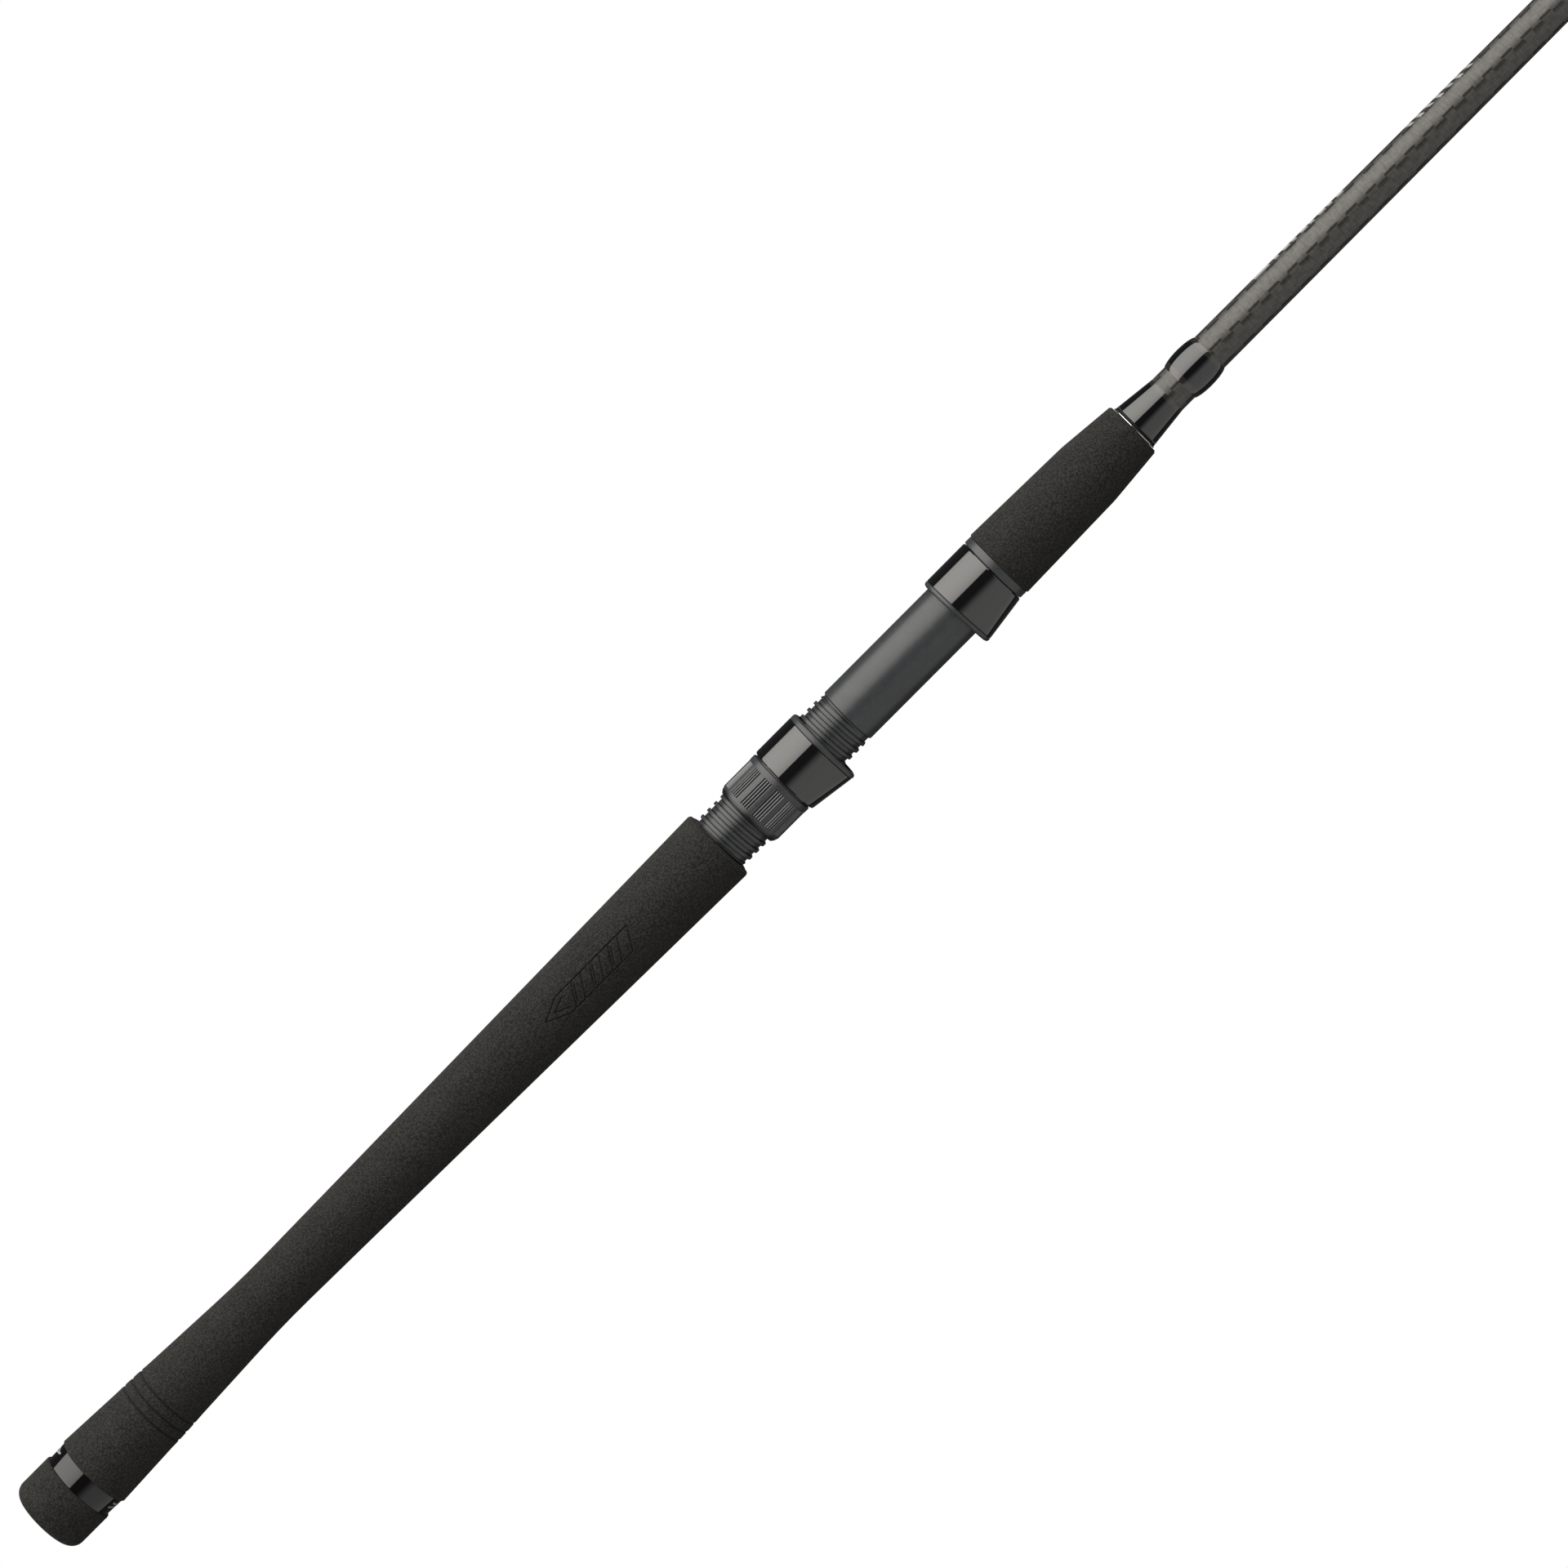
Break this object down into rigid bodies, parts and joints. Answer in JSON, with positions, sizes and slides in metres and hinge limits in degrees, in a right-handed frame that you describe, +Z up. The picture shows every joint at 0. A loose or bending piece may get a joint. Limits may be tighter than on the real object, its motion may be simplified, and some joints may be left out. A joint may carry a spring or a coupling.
{
  "type": "spinning rod",
  "caption": "Two-piece spinning fishing rod with foam grips, a screw-down reel seat, a put-over ferrule and a row of line guides.",
  "frame": {"origin": "the middle of the butt cap's flat end face", "axes": "+X along the rod to its tip, -Y the side of the reel's foot and the line guides, +Z up from the surface that it lies on"},
  "size_m": [2.4404, 0.0662, 0.0318],
  "materials": {
    "eva_foam": "matte, fine grain",
    "gloss_black": "high gloss",
    "graphite_grey": "satin",
    "carbon_blank": "woven carbon under clear coat",
    "wrap_epoxy": "thread under gloss epoxy",
    "guide_metal": "dark plated",
    "guide_ceramic": "polished ceramic",
    "polished_trim": "polished",
    "bushing_grey": "matte"
  },
  "bodies": {
    "handle": {"butt_blank": "carbon_blank", "butt_cap": "eva_foam", "butt_ring": "gloss_black", "rear_grip": "eva_foam", "seat_barrel": "graphite_grey", "seat_bushing_1": "bushing_grey", "seat_bushing_2": "bushing_grey", "seat_bushing_3": "bushing_grey", "fixed_hood_cover": "gloss_black", "fixed_hood_insert": "graphite_grey", "seat_collar": "graphite_grey", "foregrip": "eva_foam", "check_ring": "polished_trim", "taper_wrap": "wrap_epoxy", "trim_wrap": "wrap_epoxy", "guide_1_ring": "guide_ceramic", "guide_1_frame": "guide_metal", "guide_1_wrap_front": "wrap_epoxy", "guide_1_wrap_rear": "wrap_epoxy"},
    "movable_hood": {"movable_hood_cover": "gloss_black", "movable_hood_insert": "graphite_grey"},
    "lock_nut": {"lock_nut": "graphite_grey"},
    "tip_section": {"tip_blank": "carbon_blank", "ferrule_wrap": "wrap_epoxy", "tip_top_frame": "guide_metal", "tip_top_ring": "guide_ceramic", "tip_wrap": "wrap_epoxy", "guide_2_ring": "guide_ceramic", "guide_2_frame": "guide_metal", "guide_2_wrap_front": "wrap_epoxy", "guide_2_wrap_rear": "wrap_epoxy", "guide_3_ring": "guide_ceramic", "guide_3_frame": "guide_metal", "guide_3_wrap_front": "wrap_epoxy", "guide_3_wrap_rear": "wrap_epoxy", "guide_4_ring": "guide_ceramic", "guide_4_frame": "guide_metal", "guide_4_wrap_front": "wrap_epoxy", "guide_5_ring": "guide_ceramic", "guide_5_frame": "guide_metal", "guide_5_wrap_front": "wrap_epoxy", "guide_6_ring": "guide_ceramic", "guide_6_frame": "guide_metal", "guide_6_wrap_front": "wrap_epoxy", "guide_7_ring": "guide_ceramic", "guide_7_frame": "guide_metal", "guide_7_wrap_front": "wrap_epoxy"}
  },
  "joints": [
    {"name": "hood_slide", "type": "slide", "parent": "handle", "child": "movable_hood", "axis": [1, 0, 0], "range_m": [-0.012, 0.028]},
    {"name": "nut_turn", "type": "hinge", "parent": "movable_hood", "child": "lock_nut", "pos_m": [0.35, 0, 0], "axis": [1, 0, 0], "range_deg": [-1351, 3151]},
    {"name": "tip_pull", "type": "slide", "parent": "handle", "child": "tip_section", "axis": [1, 0, 0], "range_m": [0, 0.09]}
  ],
  "couplings": [
    {"joint": "nut_turn", "follows": "hood_slide", "rad_per_m": 1963.5}
  ]
}
